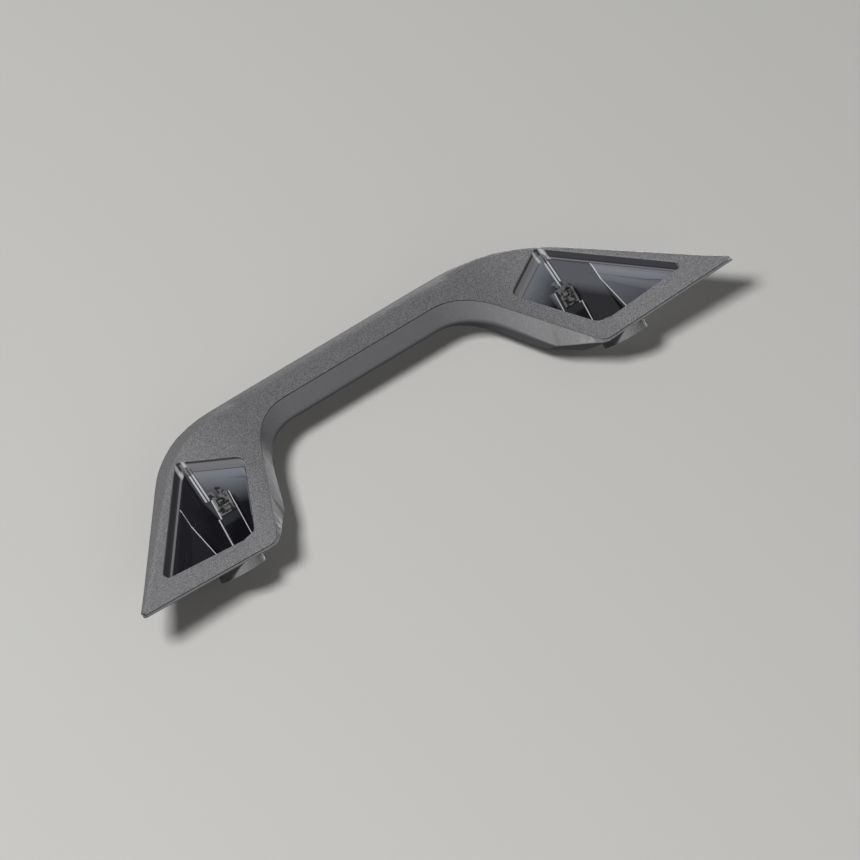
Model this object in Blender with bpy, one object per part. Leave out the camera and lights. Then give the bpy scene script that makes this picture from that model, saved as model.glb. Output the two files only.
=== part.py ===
"""A-pillar grab handle: a C-shaped moulded handle whose two feet lean back from the pillar.

X runs along the handle, Y points to the rear, and Z points away from the pillar. The screw bosses
end at Z = 0. The handle is the same on both sides of X = 0, so every size below is for one side.
"""
import math

import bmesh
import bpy
import numpy as np

MM = 0.001

# Handle outline in the front view
half_length = 175 * MM
bar_top = 64.2 * MM
bar_bottom = 44.1 * MM
tip_top = 8.8 * MM
tip_bottom = 6.2 * MM
underside = 3.2 * MM
underside_inner_end = 98.8 * MM
shoulder_corner = 96.8 * MM
shoulder_radius = 90 * MM
gap_corner = 61 * MM
gap_corner_radius = 32 * MM
heel_x = 81.2 * MM
heel_z = 12.8 * MM

# Lean, depth and rounding of the body
face_lean = 0.62
face_front = -35.775 * MM
toe_in = 0.113
toe_in_start = 110 * MM
body_depth = 22 * MM
body_depth_tip = 3.4 * MM
taper_start = 90 * MM
foot_flare = 0.2
flank_depth = 7 * MM
crown_radius = 7.5 * MM
bar_rear_radius = 8.5 * MM
bar_flank_radius = 5 * MM
rear_rounding = 0.42
foot_radius = 1.6 * MM

# Shells and the parting groove between them
wall = 3 * MM
seam_gap = 0.32 * MM
fit_gap = 0.35 * MM
groove_z = 54.6 * MM
groove_foot_end = 98.2 * MM
rear_seam_drop = 11 * MM
lip_height = 1.2 * MM

# Cover pocket in each foot: corners of its rim as X and Z on the leaning face
pocket_corners = ((107.7 * MM, 54.9 * MM), (79.8 * MM, 42.6 * MM), (103.2 * MM, 12.6 * MM),
                  (half_length - 17.5 * MM, 15.4 * MM))
pocket_corner_radii = (3.2 * MM, 3 * MM, 6 * MM, 2 * MM)
rebate_depth = 4 * MM
ledge_width = 2.2 * MM
pocket_draft = 0.187
pocket_floor = 9.2 * MM
floor_thickness = 1.2 * MM
shelf_depth = 1.6 * MM
shelf_lean = 0.53
shelf_edge = 122.6 * MM
tub_end = half_length - 25.5 * MM
least_corner_radius = 0.8 * MM
cutter_margin = 4 * MM

# Screw tower, guide ribs and retaining clip in each pocket
tower_inner_x = 97.6 * MM
tower_outer_x = 107.9 * MM
tower_step_x = 109.2 * MM
tower_step_z = 24 * MM
tower_top = 33 * MM
tower_front = -7.2 * MM
tower_root_low = -2 * MM
tower_root_high = 4 * MM
guide_rib_x = 106.5 * MM
guide_rib_spread = 0.8 * MM
guide_rib_width = 0.8 * MM
guide_rib_height = 1.5 * MM
guide_rib_top = 50.5 * MM
clip_x = (99.2 * MM, 107.4 * MM)
clip_thickness = 0.6 * MM
clip_rise = 4.2 * MM
clip_drop = 8.5 * MM

# Screw boss and its steel sleeve
boss_x = 115 * MM
boss_y = -15.8 * MM
boss_radius = 11 * MM
boss_root = 0.9 * MM
sleeve_radius = 6 * MM
bolt_hole_radius = 4.2 * MM

# Filling of the feet around the pockets; the stiffening bar runs between them
foot_start = 84 * MM
foot_end = half_length - 13 * MM
foot_clearance = 0.9 * MM
filling_overlap = 0.85 * MM
bore_margin = 0.3 * MM

# Stations along X: ends of the spans and the number of steps in each one
span_ends = (0.72 * gap_corner, gap_corner + 9 * MM, foot_start, foot_start + 16 * MM,
             foot_start + 40 * MM, half_length - MM)
span_steps = (4, 9, 6, 6, 7, 7)

ARC_STEPS = 5


def clear_scene():
    for old in list(bpy.data.objects):
        bpy.data.objects.remove(old, do_unlink=True)


def plastic(name, colour, roughness, metallic=0.0):
    material = bpy.data.materials.new(name)
    material.use_nodes = True
    shader = material.node_tree.nodes["Principled BSDF"]
    shader.inputs["Base Color"].default_value = (*colour, 1.0)
    shader.inputs["Roughness"].default_value = roughness
    shader.inputs["Metallic"].default_value = metallic
    return material


def rounded_corner(before, corner, after, radius, steps=ARC_STEPS):
    """Points of the arc that rounds one corner, limited to what its two sides can hold."""
    before, corner, after = (np.asarray(p, float) for p in (before, corner, after))
    to_before = before - corner
    to_after = after - corner
    len_before = np.linalg.norm(to_before)
    len_after = np.linalg.norm(to_after)
    to_before = to_before / len_before
    to_after = to_after / len_after
    half_angle = 0.5 * math.acos(float(np.clip(to_before @ to_after, -1.0, 1.0)))
    reach = min(radius / math.tan(half_angle), 0.46 * len_before, 0.46 * len_after)
    start = corner + to_before * reach
    end = corner + to_after * reach
    bulge = reach * math.tan(half_angle)
    towards_centre = to_before + to_after
    towards_centre = towards_centre / np.linalg.norm(towards_centre)
    centre = corner + towards_centre * math.hypot(reach, bulge)
    angle_start = math.atan2(*(start - centre)[::-1])
    turn = math.atan2(*(end - centre)[::-1]) - angle_start
    turn = (turn + math.pi) % (2 * math.pi) - math.pi
    angles = angle_start + turn * np.linspace(0.0, 1.0, steps)
    return [tuple(centre + bulge * np.array((math.cos(a), math.sin(a)))) for a in angles]


def outline_height(points, radii):
    """Height along the handle of an outline through the given corners, each one rounded."""
    path = [points[0]]
    for i in range(1, len(points) - 1):
        path += rounded_corner(points[i - 1], points[i], points[i + 1], radii[i - 1], 9)
    path.append(points[-1])
    along, height = np.array(path).T
    return lambda x: float(np.interp(abs(x), along, height))


top_height = outline_height(
    [(0, bar_top), (shoulder_corner, bar_top), (half_length, tip_top)],
    [shoulder_radius])
bottom_height = outline_height(
    [(0, bar_bottom), (gap_corner, bar_bottom), (heel_x, heel_z),
     (underside_inner_end, underside), (half_length, tip_bottom)],
    [gap_corner_radius, 1.5 * MM, 2 * MM])
groove_height = outline_height(
    [(0, groove_z), (gap_corner, groove_z), (groove_foot_end, underside + lip_height),
     (half_length, tip_bottom + lip_height)],
    [gap_corner_radius, 7 * MM])


def face_y(x, z):
    """Y of the leaning front face."""
    return face_front + face_lean * z + toe_in * (half_length - max(abs(x), toe_in_start))


def smooth_step(value, start, end):
    share = min(max((value - start) / (end - start), 0.0), 1.0)
    return share * share * (3.0 - 2.0 * share)


def section(x):
    """Sizes of the cross-section at X, with depths measured straight back from the face."""
    ax = abs(x)
    top = top_height(x)
    bottom = bottom_height(x)
    taper = max(ax - taper_start, 0.0) / (half_length - taper_start)
    depth = body_depth + (body_depth_tip - body_depth) * taper
    thick = min(wall, 0.27 * depth, 0.27 * (top - bottom))
    foot = smooth_step(ax, gap_corner - 3 * MM, foot_start)
    lip = min(lip_height, 0.3 * (top - bottom))
    groove = max(groove_height(x), bottom + lip)
    flank = flank_depth * (1.0 - smooth_step(ax, heel_x, underside_inner_end))
    front_radius = crown_radius + (foot_radius - crown_radius) * foot
    rear_radius = min(bar_rear_radius, rear_rounding * depth)
    return {
        "x": x, "top": top, "bottom": bottom, "depth": depth, "wall": thick,
        "flare": foot_flare * smooth_step(ax, heel_x, shoulder_corner + 8 * MM),
        "wall_back": thick * math.hypot(1.0, face_lean), "groove": groove,
        "flank": max(flank, 0.3 * MM),
        "rear_seam": top - min(rear_seam_drop, 0.45 * (top - bottom)),
        "front_radius": front_radius, "inner_front": max(front_radius - thick, 0.5 * MM),
        "rear_radius": rear_radius, "inner_rear": max(rear_radius - thick, 0.5 * MM),
        "flank_radius": bar_flank_radius + (0.8 * MM - bar_flank_radius) * foot,
    }


def rear(s, z):
    """Depth of the rear surface behind the face; it leans less than the face in the feet."""
    return s["depth"] + s["flare"] * (s["top"] - z)


def loop_points(s, corners):
    """3-D loop of a section given as (depth behind the face, height, radius or None)."""
    loop = []
    count = len(corners)
    for i, (back, height, radius) in enumerate(corners):
        if radius is None:
            loop.append((back, height))
            continue
        before = corners[i - 1][:2]
        after = corners[(i + 1) % count][:2]
        loop += rounded_corner(before, (back, height), after, radius)
    return [(s["x"], face_y(s["x"], z) + back, z) for back, z in loop]


def front_shell_loop(x):
    s = section(x)
    back = s["wall_back"]
    end = s["groove"] + 0.5 * seam_gap
    seam = s["rear_seam"] + 0.5 * fit_gap
    return loop_points(s, [
        (0, end, None),
        (0, s["top"], s["front_radius"]),
        (rear(s, s["top"]), s["top"], s["rear_radius"]),
        (rear(s, seam), seam, None),
        (rear(s, seam) - back, seam, None),
        (rear(s, s["top"] - s["wall"]) - back, s["top"] - s["wall"], s["inner_rear"]),
        (back, s["top"] - s["wall"], s["inner_front"]),
        (back, end, None)])


def flank_inner(s, end):
    """Inner end and inner corner of the back shell's flank wall, in depth and height."""
    rise = s["groove"] - s["bottom"]
    slant = s["flank"] / rise
    shift = s["wall"] * math.hypot(1.0, slant)
    floor = s["bottom"] + s["wall"]
    end_back = slant * (s["groove"] - end) + shift
    corner_back = slant * (s["groove"] - floor) + shift
    behind_front_wall = s["wall_back"] + fit_gap
    if floor > end:
        corner_back = max(corner_back, behind_front_wall)
        end_back = max(end_back, behind_front_wall)
    return (end_back, end), (corner_back, floor)


def back_shell_loop(x):
    s = section(x)
    back = s["wall_back"]
    end = s["groove"] - 0.5 * seam_gap
    seam = s["rear_seam"] - 0.5 * fit_gap
    end_inner, corner_inner = flank_inner(s, end)
    slant = s["flank"] / (s["groove"] - s["bottom"])
    return loop_points(s, [
        (rear(s, seam), seam, None),
        (rear(s, s["bottom"]), s["bottom"], s["rear_radius"]),
        (s["flank"], s["bottom"], s["flank_radius"]),
        (slant * (s["groove"] - end), end, None),
        (*end_inner, None),
        (*corner_inner, None),
        (rear(s, s["bottom"] + s["wall"]) - back, s["bottom"] + s["wall"], s["inner_rear"]),
        (rear(s, seam) - back, seam, None)])


def inner_loop(x, overlap, clear):
    """Section inside both shells: clear of the back shell, overlap carried into the front one."""
    s = section(x)
    back = s["wall_back"]
    floor = s["bottom"] + s["wall"] + clear
    end_inner, corner_inner = flank_inner(s, s["groove"] - 0.5 * seam_gap)
    front = back + fit_gap - overlap
    roof = s["top"] - s["wall"] - fit_gap + overlap
    behind = back + clear
    low = max(end_inner[1], floor + 0.8 * MM)
    front_radius = max(s["inner_front"] - 1.3 * overlap, 0.1 * MM)
    roof_radius = max(s["inner_rear"] - 1.3 * overlap, 0.1 * MM)
    return loop_points(s, [
        (max(front, end_inner[0] + clear), low, None),
        (front, roof, front_radius),
        (rear(s, roof) - behind, roof, roof_radius),
        (rear(s, floor) - behind, floor, s["inner_rear"]),
        (corner_inner[0] + clear, floor, None)])


def loft(name, stations, loop_at, material):
    """Closed solid through equal loops, one for each station along X."""
    mesh = bpy.data.meshes.new(name)
    bm = bmesh.new()
    rings = [[bm.verts.new(p) for p in loop_at(x)] for x in stations]
    count = len(rings[0])
    for ring, following in zip(rings, rings[1:]):
        for i in range(count):
            j = (i + 1) % count
            bm.faces.new((ring[i], ring[j], following[j], following[i]))
    bm.faces.new(rings[0][::-1])
    bm.faces.new(rings[-1])
    bmesh.ops.recalc_face_normals(bm, faces=bm.faces)
    bmesh.ops.triangulate(bm, faces=bm.faces)
    bm.to_mesh(mesh)
    bm.free()
    return add_object(name, mesh, material)


def add_object(name, mesh, material=None):
    obj = bpy.data.objects.new(name, mesh)
    bpy.context.scene.collection.objects.link(obj)
    if material is not None:
        mesh.materials.append(material)
        mesh.shade_smooth()
        mesh.set_sharp_from_angle(angle=math.radians(35))
    else:
        obj.display_type = "WIRE"
        obj.hide_render = True
    return obj


def prism(name, lower, upper, material=None):
    """Closed solid between two equal polygons."""
    mesh = bpy.data.meshes.new(name)
    bm = bmesh.new()
    low = [bm.verts.new(p) for p in lower]
    high = [bm.verts.new(p) for p in upper]
    for i in range(len(low)):
        j = (i + 1) % len(low)
        bm.faces.new((low[i], low[j], high[j], high[i]))
    bm.faces.new(low[::-1])
    bm.faces.new(high)
    bmesh.ops.recalc_face_normals(bm, faces=bm.faces)
    bmesh.ops.triangulate(bm, faces=bm.faces)
    bm.to_mesh(mesh)
    bm.free()
    return add_object(name, mesh, material)


def cylinder(name, x, y, low, high, radius, sides=32, material=None):
    angles = np.arange(sides) * 2 * math.pi / sides
    ring = [(x + radius * math.cos(a), y + radius * math.sin(a)) for a in angles]
    return prism(name, [(px, py, low) for px, py in ring],
                 [(px, py, high) for px, py in ring], material)


def boolean(target, tool, operation):
    modifier = target.modifiers.new(f"{operation} {tool.name}".lower(), "BOOLEAN")
    modifier.operation = operation
    modifier.solver = "EXACT"
    modifier.object = tool
    tool.display_type = "WIRE"
    tool.hide_render = True
    return modifier


def pocket_outline(side, inset):
    """Rounded rim of the pocket as (X, Z) points, moved inwards by inset."""
    corners = np.array(pocket_corners)
    count = len(corners)
    moved = []
    for i in range(count):
        before, here, after = corners[i - 1], corners[i], corners[(i + 1) % count]
        along_in = (here - before) / np.linalg.norm(here - before)
        along_out = (after - here) / np.linalg.norm(after - here)
        inward_in = np.array((-along_in[1], along_in[0]))
        inward_out = np.array((-along_out[1], along_out[0]))
        bisector = inward_in + inward_out
        moved.append(here + inset * bisector / (bisector @ inward_in))
    outline = []
    for i in range(count):
        radius = max(pocket_corner_radii[i] - 0.5 * inset, least_corner_radius)
        outline += rounded_corner(moved[i - 1], moved[i], moved[(i + 1) % count], radius)
    return [(side * x, z) for x, z in outline]


def drawn_from_face(x, z, drop):
    """Point of the leaning face carried down the moulding's draw direction."""
    return (x, face_y(x, z) - pocket_draft * drop, z - drop)


def rebate_prism(name, outline, above, below):
    """Shallow recess whose floor runs parallel to the leaning face."""
    return prism(name, [drawn_from_face(x, z, below) for x, z in outline],
                 [drawn_from_face(x, z, -above) for x, z in outline])


def tub_cutter(label, side):
    """Tub below the rebate: walls along the draw, a level floor and a shelf in its outer end."""
    rim = [(x, z) for x, z in pocket_outline(side, ledge_width) if abs(x) < tub_end]
    deep = prism(f"{label} tub", [drawn_from_face(x, z, z - pocket_floor) for x, z in rim],
                 [drawn_from_face(x, z, -cutter_margin) for x, z in rim])
    heel_floor = wall + foot_clearance + floor_thickness
    heel_profile = [(heel_x - 20 * MM, 0.0), (underside_inner_end, 0.0),
                    (underside_inner_end, underside + heel_floor),
                    (heel_x, heel_z + heel_floor),
                    (heel_x - 20 * MM, heel_z + heel_floor + 25 * MM)]
    heel = prism(f"{label} heel block", [(side * x, face_front - MM, z) for x, z in heel_profile],
                 [(side * x, body_depth, z) for x, z in heel_profile])
    shelf = prism(f"{label} shelf block", *[
        [(side * x, face_y(x, bar_top) + shelf_depth - shelf_lean * (bar_top - z) + back, z)
         for z, back in ((0.0, 0.0), (bar_top, 0.0), (bar_top, body_depth),
                         (0.0, 2 * body_depth))]
        for x in (shelf_edge, half_length)])
    boolean(deep, heel, "DIFFERENCE")
    boolean(deep, shelf, "DIFFERENCE")
    return deep


def pocket_back_y(x, z, top):
    """Y of the pocket's back wall below a point of the rim at the given height."""
    return face_y(x, top) - pocket_draft * (top - z)


def handle_stations():
    """Stations along X, closer together where the outline turns."""
    one_side = []
    for start, end, count in zip((0.0, *span_ends), span_ends, span_steps):
        one_side += list(np.linspace(start, end, count, endpoint=False))
    right = np.array([*one_side, span_ends[-1], half_length])
    return np.concatenate((-right[:0:-1], right))


def sided(side, low, high):
    """Bounds along X of a detail given for the right-hand foot."""
    return (low, high) if side > 0 else (-high, -low)


def screw_tower(name, side):
    """Stepped block against the pocket's back wall that carries the retaining clip."""
    low = pocket_floor - bore_margin
    profile = [(tower_inner_x, low), (tower_step_x, low), (tower_step_x, tower_step_z),
               (tower_outer_x, tower_step_z), (tower_outer_x, tower_top),
               (tower_inner_x, tower_top)]
    slope = (tower_root_high - tower_root_low) / (tower_top - pocket_floor)
    front = [(side * x, tower_front, z) for x, z in profile]
    root = [(side * x, tower_root_low + slope * (z - pocket_floor), z) for x, z in profile]
    return prism(name, front, root, reinforced)


def guide_rib(name, side, x):
    """Rib on the pocket's back wall that leads down from its top corner to the tower."""
    x_low, x_high = sided(side, x - 0.5 * guide_rib_width, x + 0.5 * guide_rib_width)
    sections = []
    for z in (tower_top - MM, guide_rib_top):
        wall_y = pocket_back_y(x, z, guide_rib_top)
        front = wall_y - guide_rib_height
        back = wall_y + guide_rib_height
        sections.append([(x_low, front, z), (x_high, front, z), (x_high, back, z),
                         (x_low, back, z)])
    return prism(name, *sections, reinforced)


def retaining_clip(name, side):
    """Spring strip folded over the top of the tower, with a barbed tongue for the cover."""
    front = tower_front - fit_gap - clip_thickness
    top = tower_top + fit_gap
    profile = [(front, tower_top - clip_drop), (front, tower_top - 0.55 * clip_drop),
               (front - 1.1 * MM, tower_top - 0.4 * clip_drop),
               (front, tower_top - 0.22 * clip_drop), (front, top + clip_thickness),
               (front + 2.6 * MM, top + clip_thickness),
               (front + 3.1 * MM, top + clip_rise), (front + 4.4 * MM, top + 0.7 * clip_rise)]
    points = np.array(profile)
    steps = np.diff(points, axis=0)
    steps = steps / np.linalg.norm(steps, axis=1)[:, None]
    normals = np.column_stack((steps[:, 1], -steps[:, 0]))
    bends = np.vstack((normals[:1], normals[:-1] + normals[1:], normals[-1:]))
    scale = np.concatenate(([1.0], (bends[1:-1] * normals[:-1]).sum(axis=1), [1.0]))
    offset = points + clip_thickness * bends / scale[:, None]
    outline = [tuple(p) for p in points] + [tuple(p) for p in offset[::-1]]
    x_low, x_high = sided(side, *clip_x)
    return prism(name, [(x_low, y, z) for y, z in outline],
                 [(x_high, y, z) for y, z in outline], spring_steel)


clear_scene()

grained = plastic("grained dark grey plastic", (0.085, 0.086, 0.09), 0.62)
smooth = plastic("smooth dark grey plastic", (0.1, 0.1, 0.104), 0.45)
reinforced = plastic("glass-filled black plastic", (0.02, 0.02, 0.022), 0.5)
spring_steel = plastic("spring steel", (0.45, 0.45, 0.46), 0.3, 1.0)
zinc_steel = plastic("zinc-plated steel", (0.6, 0.6, 0.58), 0.35, 1.0)

# Front shell: grained cover with both pockets moulded in
stations = handle_stations()
front_shell = loft("front_shell", stations, front_shell_loop, grained)

# Back shell: smooth cover towards the hand gap and the pillar, with the screw bosses
back_shell = loft("back_shell", stations, back_shell_loop, smooth)

# Stiffening bar: fills the grip between the feet
grip_stations = [x for x in stations if abs(x) < foot_start - fit_gap]
stiffening_bar = loft("stiffening_bar", grip_stations,
                      lambda x: inner_loop(x, 0.0, fit_gap), reinforced)

for side, label in ((-1, "left"), (1, "right")):
    foot_stations = [x for x in stations if foot_start <= side * x <= foot_end]
    filling = loft(f"{label} foot filling", foot_stations,
                   lambda x: inner_loop(x, filling_overlap, foot_clearance), reinforced)
    boolean(front_shell, filling, "UNION")
    rebate = rebate_prism(f"{label} rebate", pocket_outline(side, 0.0), 2 * cutter_margin,
                          rebate_depth)
    boolean(front_shell, rebate, "DIFFERENCE")
    boolean(front_shell, tub_cutter(label, side), "DIFFERENCE")
    boolean(front_shell, screw_tower(f"{label} tower", side), "UNION")
    for shift in (-guide_rib_spread, guide_rib_spread):
        rib = guide_rib(f"{label} guide rib", side, guide_rib_x + shift)
        boolean(front_shell, rib, "UNION")

    boss = cylinder(f"{label} boss", side * boss_x, boss_y, 0.0, underside + boss_root,
                    boss_radius, 40)
    boolean(back_shell, boss, "UNION")
    bore = cylinder(f"{label} bore", side * boss_x, boss_y, -MM,
                    pocket_floor + bore_margin, sleeve_radius + fit_gap)
    boolean(back_shell, bore, "DIFFERENCE")
    boolean(front_shell, bore, "DIFFERENCE")

    sleeve = cylinder(f"sleeve_{label}", side * boss_x, boss_y, 0.0, pocket_floor,
                      sleeve_radius, 32, zinc_steel)
    bolt_hole = cylinder(f"{label} bolt hole", side * boss_x, boss_y, -MM,
                         pocket_floor + MM, bolt_hole_radius, 32)
    boolean(sleeve, bolt_hole, "DIFFERENCE")
    retaining_clip(f"cover_clip_{label}", side)
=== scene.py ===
"""Looks of the a-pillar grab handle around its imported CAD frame.

X runs along the handle, Y points to the rear and Z points away from the pillar, in metres.
"""
import math
from types import SimpleNamespace

import bpy
import numpy as np
from mathutils import Matrix, Vector


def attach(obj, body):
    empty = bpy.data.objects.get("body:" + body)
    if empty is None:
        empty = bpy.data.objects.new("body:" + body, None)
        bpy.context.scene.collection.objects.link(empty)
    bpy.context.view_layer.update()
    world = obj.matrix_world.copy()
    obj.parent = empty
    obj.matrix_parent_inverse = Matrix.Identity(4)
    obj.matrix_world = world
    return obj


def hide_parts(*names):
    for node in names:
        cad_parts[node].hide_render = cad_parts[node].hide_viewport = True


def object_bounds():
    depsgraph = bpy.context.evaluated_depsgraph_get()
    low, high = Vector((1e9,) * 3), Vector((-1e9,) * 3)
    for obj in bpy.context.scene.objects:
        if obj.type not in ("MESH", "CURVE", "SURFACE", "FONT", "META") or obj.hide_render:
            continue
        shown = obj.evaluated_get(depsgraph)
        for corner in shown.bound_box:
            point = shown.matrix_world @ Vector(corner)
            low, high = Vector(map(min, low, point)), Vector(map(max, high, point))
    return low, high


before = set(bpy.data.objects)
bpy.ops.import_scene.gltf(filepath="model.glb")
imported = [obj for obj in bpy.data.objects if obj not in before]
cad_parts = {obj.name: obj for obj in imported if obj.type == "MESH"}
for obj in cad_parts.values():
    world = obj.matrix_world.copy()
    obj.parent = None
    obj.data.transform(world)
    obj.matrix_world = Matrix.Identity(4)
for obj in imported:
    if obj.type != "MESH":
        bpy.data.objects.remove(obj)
cad_box = [list(corner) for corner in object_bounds()]
MM = 0.001


# Front shell
# The real piece is an injection-moulded polypropylene cover with a grain on every outer surface.
# The cover pockets are moulded in one with it and are left smooth and shiny. It is snapped onto
# the back shell along the parting groove.

half_length = cad_box[1][0]
face_lean, face_front = 0.62, -35.775 * MM
toe_in, toe_in_start = 0.113, 110 * MM
grip_end, foot_start = 70 * MM, 100 * MM

pocket_draft = 0.187
pocket_corners = ((107.7 * MM, 54.9 * MM), (79.8 * MM, 42.6 * MM), (103.2 * MM, 12.6 * MM),
                  (half_length - 17.5 * MM, 15.4 * MM))
ledge_width = 2.1 * MM
shelf_edge = 122.65 * MM

tower_front, tower_top, tower_step_z = -7.2 * MM, 33 * MM, 24 * MM
tower_inner_x, tower_outer_x, tower_step_x = 97.5 * MM, 108 * MM, 109.3 * MM
rib_x, rib_half_width, rib_top = 106.5 * MM, 1.3 * MM, 50.5 * MM
rib_proud = 1.2 * MM


def new_material(name, colour, roughness, metallic=0.0):
    """Principled material; returns it with its node tree and shader."""
    material = bpy.data.materials.new(name)
    material.use_nodes = True
    tree = material.node_tree
    shader = tree.nodes["Principled BSDF"]
    shader.inputs["Base Color"].default_value = (*colour, 1.0)
    shader.inputs["Roughness"].default_value = roughness
    shader.inputs["Metallic"].default_value = metallic
    return material, tree, shader


def math_node(tree, operation, *values):
    """Math node whose inputs are numbers or sockets."""
    node = tree.nodes.new("ShaderNodeMath")
    node.operation = operation
    for socket, value in zip(node.inputs, values):
        if isinstance(value, (int, float)):
            socket.default_value = value
        else:
            tree.links.new(value, socket)
    return node.outputs[0]


def combine(tree, operation, *values):
    """One value from several: their product, sum, least or greatest."""
    result = values[0]
    for value in values[1:]:
        result = math_node(tree, operation, result, value)
    return result


def between(tree, value, low, high):
    """1 where a value lies between two limits, else 0."""
    return combine(tree, "MULTIPLY", math_node(tree, "GREATER_THAN", value, low),
                   math_node(tree, "LESS_THAN", value, high))


def ramp(tree, value, low, high, from_value=0.0, to_value=1.0):
    """Linear change between two thresholds, and level outside them."""
    node = tree.nodes.new("ShaderNodeMapRange")
    tree.links.new(value, node.inputs["Value"])
    for name, number in (("From Min", low), ("From Max", high), ("To Min", from_value),
                         ("To Max", to_value)):
        node.inputs[name].default_value = number
    return node.outputs["Result"]


def falling_ramp(tree, value, low, high):
    """1 below the low threshold, falling to 0 at the high one."""
    return ramp(tree, value, low, high, 1.0, 0.0)


def blend(tree, share, first, second):
    """Colour that goes from the first to the second as the share goes from 0 to 1."""
    node = tree.nodes.new("ShaderNodeMix")
    node.data_type = "RGBA"
    tree.links.new(share, node.inputs[0])
    for socket, colour in ((node.inputs[6], first), (node.inputs[7], second)):
        if isinstance(colour, tuple):
            socket.default_value = (*colour, 1.0)
        else:
            tree.links.new(colour, socket)
    return node.outputs[2]


def coordinates(tree):
    """Object coordinates and their three parts."""
    place = tree.nodes.new("ShaderNodeTexCoord").outputs["Object"]
    parts = tree.nodes.new("ShaderNodeSeparateXYZ")
    tree.links.new(place, parts.inputs[0])
    return place, *parts.outputs


def noise(tree, place, scale, detail=2.0, roughness=0.5):
    node = tree.nodes.new("ShaderNodeTexNoise")
    node.inputs["Scale"].default_value = scale
    node.inputs["Detail"].default_value = detail
    node.inputs["Roughness"].default_value = roughness
    tree.links.new(place, node.inputs["Vector"])
    return node.outputs["Fac"]


def bump(tree, shader, height, strength, distance):
    node = tree.nodes.new("ShaderNodeBump")
    node.inputs["Strength"].default_value = strength
    node.inputs["Distance"].default_value = distance
    tree.links.new(height, node.inputs["Height"])
    tree.links.new(node.outputs["Normal"], shader.inputs["Normal"])


def pocket_place(tree):
    """Where a point lies in its foot's pocket, as sockets.

    face is Y on the leaning face: front + lean z + toe (half length - |x|). depth is how far the
    point lies behind it. The walls run along the draw, so the point is carried back up to the
    face by rise = depth / (lean - draft), and inside is the least distance of (|x|, z + rise)
    from the rim's four sides. outer_side is its distance from the side next to the tip.
    """
    place, x, y, z = coordinates(tree)
    ax = math_node(tree, "ABSOLUTE", x)
    to_tip = math_node(tree, "SUBTRACT", half_length,
                       math_node(tree, "MAXIMUM", ax, toe_in_start))
    upright_face = math_node(tree, "MULTIPLY_ADD", z, face_lean, face_front)
    face = math_node(tree, "MULTIPLY_ADD", to_tip, toe_in, upright_face)
    depth = math_node(tree, "SUBTRACT", y, face)
    rise = math_node(tree, "DIVIDE", depth, face_lean - pocket_draft)
    rim_z = math_node(tree, "ADD", z, rise)
    sides = []
    for (x0, z0), (x1, z1) in zip(pocket_corners, pocket_corners[1:] + pocket_corners[:1]):
        length = math.hypot(x1 - x0, z1 - z0)
        nx, nz = (z0 - z1) / length, (x1 - x0) / length
        along_x = math_node(tree, "MULTIPLY_ADD", ax, nx, -(nx * x0 + nz * z0))
        sides.append(math_node(tree, "MULTIPLY_ADD", rim_z, nz, along_x))
    return SimpleNamespace(place=place, x=x, ax=ax, y=y, z=z, face=face, depth=depth, rim_z=rim_z,
                           inside=combine(tree, "MINIMUM", *sides), outer_side=sides[-1])


def grained_colour(tree, at, grain):
    """Dark and pale specks of the grain, with painted light: the feet are painted paler than the
    grip.
    """
    speck = ramp(tree, grain, low=0.38, high=0.62)
    grip = blend(tree, speck, (0.055, 0.055, 0.058), (0.2, 0.2, 0.208))
    foot = blend(tree, speck, (0.09, 0.09, 0.094), (0.265, 0.265, 0.273))
    # Painted light: the feet are painted paler than the grip.
    return blend(tree, ramp(tree, at.ax, grip_end, foot_start), grip, foot)


def tub_colour(tree, at, on_tower_front):
    """Shiny blue-grey with painted shade: black with depth, dark beside the tower and on its
    front, and near black in the left foot's tub beyond x = -107.9 mm.
    """
    first_shade, full_shade = 2.4 * MM, 9 * MM
    painted_shade_beside_tower, painted_shade_on_tower_face = 0.6, 0.88
    beside = between(tree, at.ax, 106.8 * MM, shelf_edge)
    face = combine(tree, "MULTIPLY", on_tower_front, between(tree, at.z, 0.0, tower_top),
                   between(tree, at.ax, tower_inner_x, tower_step_x))
    # Painted shade: darker with depth, beside the tower and on the tower's front.
    shade = combine(tree, "MAXIMUM", ramp(tree, at.depth, first_shade, full_shade),
                    math_node(tree, "MULTIPLY", beside, painted_shade_beside_tower),
                    math_node(tree, "MULTIPLY", face, painted_shade_on_tower_face))
    lit = blend(tree, shade, (0.17, 0.182, 0.205), (0.007, 0.007, 0.01))
    # Painted shade: the left foot's tub beyond x = -107.9 mm is painted near black.
    painted_shade_away_from_light = math_node(tree, "LESS_THAN", at.x, -107.9 * MM)
    return blend(tree, painted_shade_away_from_light, lit, (0.012, 0.012, 0.017))


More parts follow.
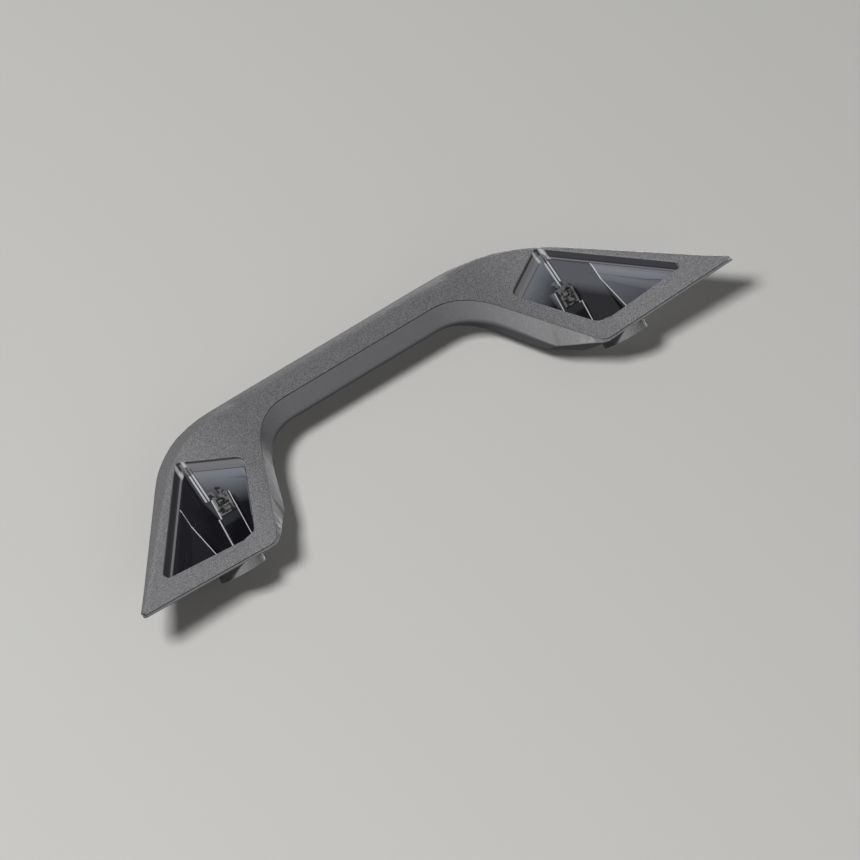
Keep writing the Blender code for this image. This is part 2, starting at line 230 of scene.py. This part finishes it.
def rebate_colour(tree, at):
    """Grey ledge band with painted shade, a dark line at each edge and dark along the outer side,
    and two painted highlights by the top corner.
    """
    painted_shade_tub_line, painted_shade_rim_line, painted_shade_outer_side = (1.6 * MM, 1.9 * MM), (0.6 * MM, 0.9 * MM), (0.75 * MM, 1 * MM)
    # Painted shade: dark lines at the rim and at the tub's edge, and dark along the outer side.
    dark = combine(tree, "MAXIMUM", ramp(tree, at.inside, *painted_shade_tub_line),
                   falling_ramp(tree, at.depth, *painted_shade_rim_line),
                   falling_ramp(tree, at.outer_side, *painted_shade_outer_side))
    band = blend(tree, dark, (0.16, 0.16, 0.168), (0.03, 0.03, 0.034))
    # Painted highlights by the top corner of the rim.
    painted_glints = []
    for centre, bright_to, gone_at in ((105 * MM, 0.3 * MM, 1.1 * MM),
                                       (109.4 * MM, 0.5 * MM, 1.5 * MM)):
        off_centre = math_node(tree, "ABSOLUTE", math_node(tree, "SUBTRACT", at.ax, centre))
        painted_glints.append(falling_ramp(tree, off_centre, bright_to, gone_at))
    by_top_corner = math_node(tree, "GREATER_THAN", at.rim_z, 48 * MM)
    painted_glint = combine(tree, "MULTIPLY", combine(tree, "MAXIMUM", *painted_glints), by_top_corner)
    return blend(tree, painted_glint, band, (0.42, 0.42, 0.43))


def painted_edge_highlights(tree, at, on_tower_front):
    """1 where a painted highlight goes: on the guide ribs' crests, on the tower's upright edges
    and on the shelf's edge.
    """
    draw = face_lean - pocket_draft
    wall_y = math_node(tree, "MULTIPLY_ADD", math_node(tree, "SUBTRACT", rib_top, at.z), draw,
                       at.face)
    proud = math_node(tree, "SUBTRACT", wall_y, at.y)
    ribs = combine(
        tree, "MULTIPLY", math_node(tree, "GREATER_THAN", proud, rib_proud),
        between(tree, at.ax, rib_x - rib_half_width, rib_x + rib_half_width),
        between(tree, at.z, tower_top, rib_top - 0.1 * MM))

    edge_width, inner_edge_width, deep_inside = 0.7 * MM, 0.6 * MM, 4 * MM
    inner_edge = between(tree, at.ax, tower_inner_x, tower_inner_x + inner_edge_width)
    step_edge = combine(
        tree, "MULTIPLY", between(tree, at.ax, tower_step_x - edge_width, tower_step_x),
        math_node(tree, "LESS_THAN", at.z, tower_step_z + 0.1 * MM))
    outer_edge = combine(
        tree, "MULTIPLY", between(tree, at.ax, tower_outer_x - edge_width, tower_outer_x),
        math_node(tree, "GREATER_THAN", at.z, tower_step_z - 0.4 * MM))
    tower = combine(
        tree, "MULTIPLY", combine(tree, "MAXIMUM", inner_edge, step_edge, outer_edge),
        on_tower_front, between(tree, at.z, 0.0, tower_top + 0.1 * MM),
        math_node(tree, "GREATER_THAN", at.inside, deep_inside))

    shelf_line_width = 0.45 * MM
    shelf = combine(
        tree, "MULTIPLY", between(tree, at.ax, shelf_edge, shelf_edge + shelf_line_width),
        math_node(tree, "GREATER_THAN", at.inside, ledge_width))
    return combine(tree, "MAXIMUM", ribs, tower, shelf)


def front_shell_material():
    """Grained outside, painted paler on the feet as painted light, and smooth and shiny wherever a
    point lies in a pocket, whose colour carries painted shade and painted highlights.
    """
    material, tree, shader = new_material("grained_shell", (0.12, 0.12, 0.123), roughness=0.6)
    at = pocket_place(tree)
    behind_face = ramp(tree, at.depth, low=0.15 * MM, high=0.4 * MM)
    within_rim = ramp(tree, at.inside, low=-0.35 * MM, high=-0.1 * MM)
    pocket = combine(tree, "MULTIPLY", behind_face, within_rim)
    on_tower_front = math_node(tree, "LESS_THAN", at.y, tower_front + 0.15 * MM)

    rebate_mask_depth, ledge_fade = 2.6 * MM, 0.2 * MM
    ledge = combine(
        tree, "MULTIPLY",
        falling_ramp(tree, at.inside, ledge_width - ledge_fade, ledge_width),
        math_node(tree, "LESS_THAN", at.depth, rebate_mask_depth))
    # Pocket colour: the tub's painted shade, and the ledge band's painted shade and highlights.
    moulded = blend(tree, ledge, tub_colour(tree, at, on_tower_front), rebate_colour(tree, at))
    # Painted highlights on the rib crests, the tower's upright edges and the shelf's edge.
    moulded = blend(tree, painted_edge_highlights(tree, at, on_tower_front), moulded, (0.5, 0.51, 0.54))

    grain = noise(tree, at.place, scale=2300.0, detail=3.0, roughness=0.65)
    coarse = noise(tree, at.place, scale=700.0)
    outside = grained_colour(tree, at, grain)
    tree.links.new(blend(tree, pocket, outside, moulded), shader.inputs["Base Color"])

    shiny = 0.27
    matt = ramp(tree, coarse, low=0.3, high=0.7, from_value=0.5, to_value=0.66)
    roughness = tree.nodes.new("ShaderNodeMix")
    tree.links.new(pocket, roughness.inputs[0])
    tree.links.new(matt, roughness.inputs[2])
    roughness.inputs[3].default_value = shiny
    tree.links.new(roughness.outputs[0], shader.inputs["Roughness"])
    relief = combine(tree, "MULTIPLY", math_node(tree, "ADD", grain, coarse),
                     math_node(tree, "SUBTRACT", 1.0, pocket))
    bump(tree, shader, relief, strength=0.5, distance=0.2 * MM)
    return material


def dress(node_name, material):
    """Gives every material slot of a CAD node one new material."""
    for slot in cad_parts[node_name].material_slots:
        slot.material = material


dress("front_shell", front_shell_material())


# Back shell
# The real piece is an unpainted moulding with a much finer texture than the front. It closes the
# handle towards the hand gap and the pillar, and carries the two screw bosses.

smooth_grip_end, smooth_foot_start = 66 * MM, 88 * MM


def back_shell_material():
    """Dark grey with a very fine texture, coarser on the feet, where painted light makes the
    colour a little paler.
    """
    material, tree, shader = new_material("smooth_shell", (0.115, 0.115, 0.12), roughness=0.5)
    place, x = coordinates(tree)[:2]
    painted_light_on_feet = ramp(tree, math_node(tree, "ABSOLUTE", x), smooth_grip_end, smooth_foot_start)
    fine = noise(tree, place, scale=1600.0)
    speck = ramp(tree, fine, low=0.35, high=0.65)
    grip = blend(tree, speck, (0.118, 0.117, 0.124), (0.138, 0.137, 0.144))
    foot = blend(tree, speck, (0.13, 0.13, 0.133), (0.18, 0.18, 0.184))
    # Painted light: the feet are painted a little paler than the grip.
    tree.links.new(blend(tree, painted_light_on_feet, grip, foot), shader.inputs["Base Color"])
    bump(tree, shader, fine, strength=0.2, distance=0.08 * MM)
    return material


dress("back_shell", back_shell_material())


# Stiffening bar
# The real piece is a glass-filled nylon carrier inside the grip. It is closed in by both shells
# and isn't seen.

dress("stiffening_bar", new_material("glass_filled", (0.02, 0.02, 0.022), roughness=0.55)[0])


# Compression sleeves
# The real pieces are turned from steel and zinc plated. Each is pressed into a screw boss and
# takes the load of the screw's head.

def metal(name, colour, roughness):
    """Bright metal with dark tarnish marks, which are also smoother."""
    material, tree, shader = new_material(name, colour, roughness, metallic=1.0)
    marks = noise(tree, coordinates(tree)[0], scale=450.0)
    tarnish_brightness = 0.25
    tarnish = tuple(tarnish_brightness * part for part in colour)
    tarnished = blend(tree, ramp(tree, marks, low=0.4, high=0.52), tarnish, colour)
    tree.links.new(tarnished, shader.inputs["Base Color"])
    uneven = ramp(tree, marks, low=0.3, high=0.7, from_value=roughness - 0.06,
                  to_value=roughness + 0.1)
    tree.links.new(uneven, shader.inputs["Roughness"])
    return material


sleeve_steel = metal("sleeve_steel", (0.6, 0.6, 0.57), roughness=0.34)
for side in ("left", "right"):
    dress(f"sleeve_{side}", sleeve_steel)


# Retaining clips
# The real pieces are bent from bright spring strip and pushed over the tops of the screw towers.
# The tongues in their windows grip the cover.

strip_thickness, clip_clearance = 0.45 * MM, 0.35 * MM
clip_inner_x, clip_outer_x, rail_width = 99.2 * MM, 107.4 * MM, 1.1 * MM
clip_front = tower_front - clip_clearance - 0.5 * strip_thickness
clip_top = tower_top + clip_clearance + 0.5 * strip_thickness
fold_radius, over_top = 0.8 * MM, 2.4 * MM
rail_foot, window_top = 24.7 * MM, 32.2 * MM
low_bar, middle_bar = (rail_foot, 25.5 * MM), (28.1 * MM, 28.8 * MM)
clip_steel = metal("clip_steel", (0.85, 0.85, 0.87), roughness=0.26)


def folded_strips(name, strips):
    """Mesh of strips, each one (low x, high x, profile of y and z points along the strip).

    A strip's wall is its profile moved half the thickness to either side along its normals:
    ring = profile + t n / 2, followed by profile - t n / 2 taken backwards.
    """
    verts, faces, start = [], [], 0
    for low, high, profile in strips:
        path = np.array(profile)
        along = np.gradient(path, axis=0)
        along = along / np.linalg.norm(along, axis=1)[:, None]
        offset = 0.5 * strip_thickness * np.column_stack((-along[:, 1], along[:, 0]))
        ring = np.vstack((path + offset, (path - offset)[::-1]))
        count = len(ring)
        verts += [np.column_stack((np.full(count, x), ring)) for x in (low, high)]
        i = np.arange(count)
        j = (i + 1) % count
        walls = np.column_stack((i, i + count, j + count, j))
        k = np.arange(len(path) - 1)
        near_cap = np.column_stack((k + 1, count - 2 - k, count - 1 - k, k))
        far_cap = near_cap[:, ::-1] + count
        faces.append(np.vstack((walls, near_cap, far_cap)) + start)
        start += 2 * count
    mesh = bpy.data.meshes.new(name)
    mesh.from_pydata(np.vstack(verts).tolist(), [], np.vstack(faces).tolist())
    piece = bpy.data.objects.new(name, mesh)
    bpy.context.scene.collection.objects.link(piece)
    return piece


def crown_profile():
    """Quarter circle of the fold, then flat over the tower's top."""
    bend = np.linspace(0, 0.5 * np.pi, 5)
    fold_y = clip_front + fold_radius * (1 - np.cos(bend))
    fold_z = clip_top - fold_radius * (1 - np.sin(bend))
    return [(clip_front, window_top), *zip(fold_y, fold_z), (clip_front + over_top, clip_top)]


def tongue_profile(root, reach, rise):
    """Leaves the plate and bows away: y = front - rise sin(0.8 pi t), z = root + reach t."""
    t = np.linspace(0, 1, 7)
    return np.column_stack((clip_front - rise * np.sin(0.8 * np.pi * t), root + reach * t))


def horn_profile(low):
    """Raised tab on the crown: y = start + length t, z = low + height sin(0.6 pi t)."""
    start, length, height = clip_front + 1.2 * MM, 2.5 * MM, 3.2 * MM
    t = np.linspace(0, 1, 7)
    return np.column_stack((start + length * t, low + height * np.sin(0.6 * np.pi * t)))


def clip_strips():
    """Two rails, the crown, two cross bars, three tongues and two horns of the right clip."""
    inner, outer = clip_inner_x, clip_outer_x
    rail = [(clip_front, z) for z in (rail_foot, 0.5 * (rail_foot + window_top), window_top)]
    window_tongue, low_tongue = 0.85 * MM, 1.5 * MM
    strips = [(inner, inner + rail_width, rail), (outer - rail_width, outer, rail),
              (inner, outer, crown_profile())]
    strips += [(inner + rail_width, outer - rail_width, [(clip_front, low), (clip_front, high)])
               for low, high in (low_bar, middle_bar)]
    return strips + [
        (inner + 1.5 * MM, inner + 3.8 * MM,
         tongue_profile(window_top, -2.7 * MM, window_tongue)),
        (outer - 3.7 * MM, outer - 1.5 * MM,
         tongue_profile(middle_bar[1], 2.6 * MM, window_tongue)),
        (inner + 2.4 * MM, outer - 2.4 * MM,
         tongue_profile(middle_bar[0], -2.5 * MM, low_tongue)),
        (inner + 0.9 * MM, inner + 3.1 * MM, horn_profile(clip_top + 0.1 * MM)),
        (outer - 3 * MM, outer - 0.8 * MM, horn_profile(clip_top - 0.8 * MM))]


for side, sign in (("left", -1), ("right", 1)):
    strips = clip_strips()
    if sign < 0:
        strips = [(-high, -low, profile) for low, high, profile in strips]
    clip = folded_strips(f"folded_clip_{side}", strips)
    clip.data.materials.append(clip_steel)
    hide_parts(f"cover_clip_{side}")
    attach(clip, "root")


# Stage
# A plain pale paper sheet leans like the handle's face and passes just behind its back, so that
# the handle throws the soft shadow of the photograph. It is clear from behind and lets light
# through, so that the handle's back can be looked at too.

azimuth, elevation, roll = math.radians(-30.0), math.radians(5.0), math.radians(28.5)
towards_camera = Vector((math.sin(azimuth) * math.cos(elevation),
                         -math.cos(azimuth) * math.cos(elevation), math.sin(elevation)))
level_right = Vector((math.cos(azimuth), math.sin(azimuth), 0.0))
level_up = towards_camera.cross(level_right)
picture_right = level_right * math.cos(roll) - level_up * math.sin(roll)
picture_up = level_up * math.cos(roll) + level_right * math.sin(roll)


def backdrop_paper():
    """Matt paper from the front, and clear from behind."""
    material, tree, shader = new_material("backdrop_paper", (0.53, 0.525, 0.51), roughness=0.95)
    from_behind = tree.nodes.new("ShaderNodeNewGeometry").outputs["Backfacing"]
    clear = tree.nodes.new("ShaderNodeBsdfTransparent")
    either = tree.nodes.new("ShaderNodeMixShader")
    tree.links.new(from_behind, either.inputs[0])
    tree.links.new(shader.outputs[0], either.inputs[1])
    tree.links.new(clear.outputs[0], either.inputs[2])
    tree.links.new(either.outputs[0], tree.nodes["Material Output"].inputs["Surface"])
    return material


def backdrop():
    """Flat rectangle parallel to X: y = lean z. It faces the front and up."""
    half_width, half_height = 2.5, 2.2
    corners = [(half_width * right, face_lean * half_height * up, half_height * up)
               for right, up in ((-1, -1), (1, -1), (1, 1), (-1, 1))]
    mesh = bpy.data.meshes.new("backdrop")
    mesh.from_pydata(corners, [], [(0, 1, 2, 3)])
    mesh.materials.append(backdrop_paper())
    sheet = bpy.data.objects.new("backdrop", mesh)
    bpy.context.scene.collection.objects.link(sheet)
    sheet.visible_shadow = False
    sheet.visible_diffuse = False
    sheet.visible_glossy = False


backdrop()


# Light
# A soft key from the upper left of the picture, a weak fill from the lower right, a lamp for the
# handle's back, and a weak even world light.

def area_light(name, direction, distance, size, power):
    """Square lamp that shines on the handle from a direction given in the picture's axes."""
    right, up, near = direction
    aim = Vector((0.0, 0.0, 32 * MM))
    way = (picture_right * right + picture_up * up + towards_camera * near).normalized()
    light = bpy.data.lights.new(name, "AREA")
    light.shape = "SQUARE"
    light.size = size
    light.energy = power
    lamp = bpy.data.objects.new(name, light)
    lamp.location = aim + way * distance
    lamp.rotation_mode = "QUATERNION"
    lamp.rotation_quaternion = way.to_track_quat("Z", "Y")
    bpy.context.scene.collection.objects.link(lamp)


area_light("key", direction=(-0.39, 0.31, 1.0), distance=3.2, size=0.7, power=103.0)
area_light("fill", direction=(0.7, -0.5, 1.0), distance=2.0, size=1.8, power=6.0)
area_light("rear", direction=(0.3, 0.6, -1.0), distance=2.5, size=1.6, power=70.0)

studio_colour, studio_strength = (1.0, 0.995, 0.985, 1.0), 0.105
world = bpy.data.worlds.new("studio")
world.use_nodes = True
world.node_tree.nodes["Background"].inputs["Color"].default_value = studio_colour
world.node_tree.nodes["Background"].inputs["Strength"].default_value = studio_strength
bpy.context.scene.world = world


# Camera
# A long lens, 30 degrees to the left and 5 degrees above, rolled so that the handle rises to the
# right. The middle of the picture falls at the point that the two tips give.

def photo_camera():
    """Perspective camera whose 860 pixels span 0.443 mm each at the handle's middle plane."""
    pixels, pitch, distance, sensor = 860, 0.443 * MM, 3.0, 36.0
    tips_middle = Vector((0.0, -30.975 * MM, 7.7 * MM))
    pixels_right, pixels_down = 16.6, 0.8
    target = (tips_middle - picture_right * (pixels_right * pitch)
              + picture_up * (pixels_down * pitch))
    data = bpy.data.cameras.new("photo_camera")
    data.sensor_width = sensor
    data.lens = sensor * distance / (pixels * pitch)
    data.clip_start, data.clip_end = 0.1, 20.0
    camera = bpy.data.objects.new("photo_camera", data)
    axes = Matrix((picture_right, picture_up, towards_camera)).transposed()
    camera.matrix_world = Matrix.Translation(target + towards_camera * distance) @ axes.to_4x4()
    bpy.context.scene.collection.objects.link(camera)
    bpy.context.scene.camera = camera


photo_camera()
bpy.context.scene.view_settings.view_transform = "Standard"
